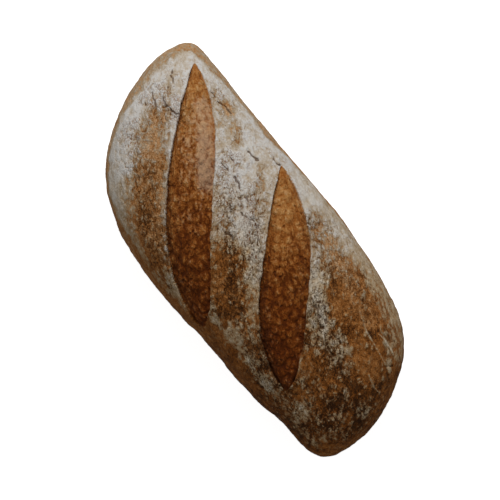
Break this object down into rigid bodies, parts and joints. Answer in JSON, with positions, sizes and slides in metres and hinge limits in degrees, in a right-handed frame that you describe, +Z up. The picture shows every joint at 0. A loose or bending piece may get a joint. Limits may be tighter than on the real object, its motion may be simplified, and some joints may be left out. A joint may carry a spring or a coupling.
{
  "type": "long buckwheat loaf",
  "caption": "Long rustic buckwheat hearth loaf with rounded ends, a flat sole, a floured brown crust and deep slanting cuts that opened across the crown in baking.",
  "frame": {"origin": "middle of the loaf's box, on its flat sole", "axes": "+X along the loaf towards its lower end in the picture, +Y across it towards its upper side in the picture, +Z up from the sole through the crown"},
  "size_m": [0.3008, 0.135, 0.0835],
  "materials": {
    "crust": "matt baked crust, dusted with flour"
  },
  "bodies": {
    "root": {"loaf": "crust"}
  },
  "joints": []
}
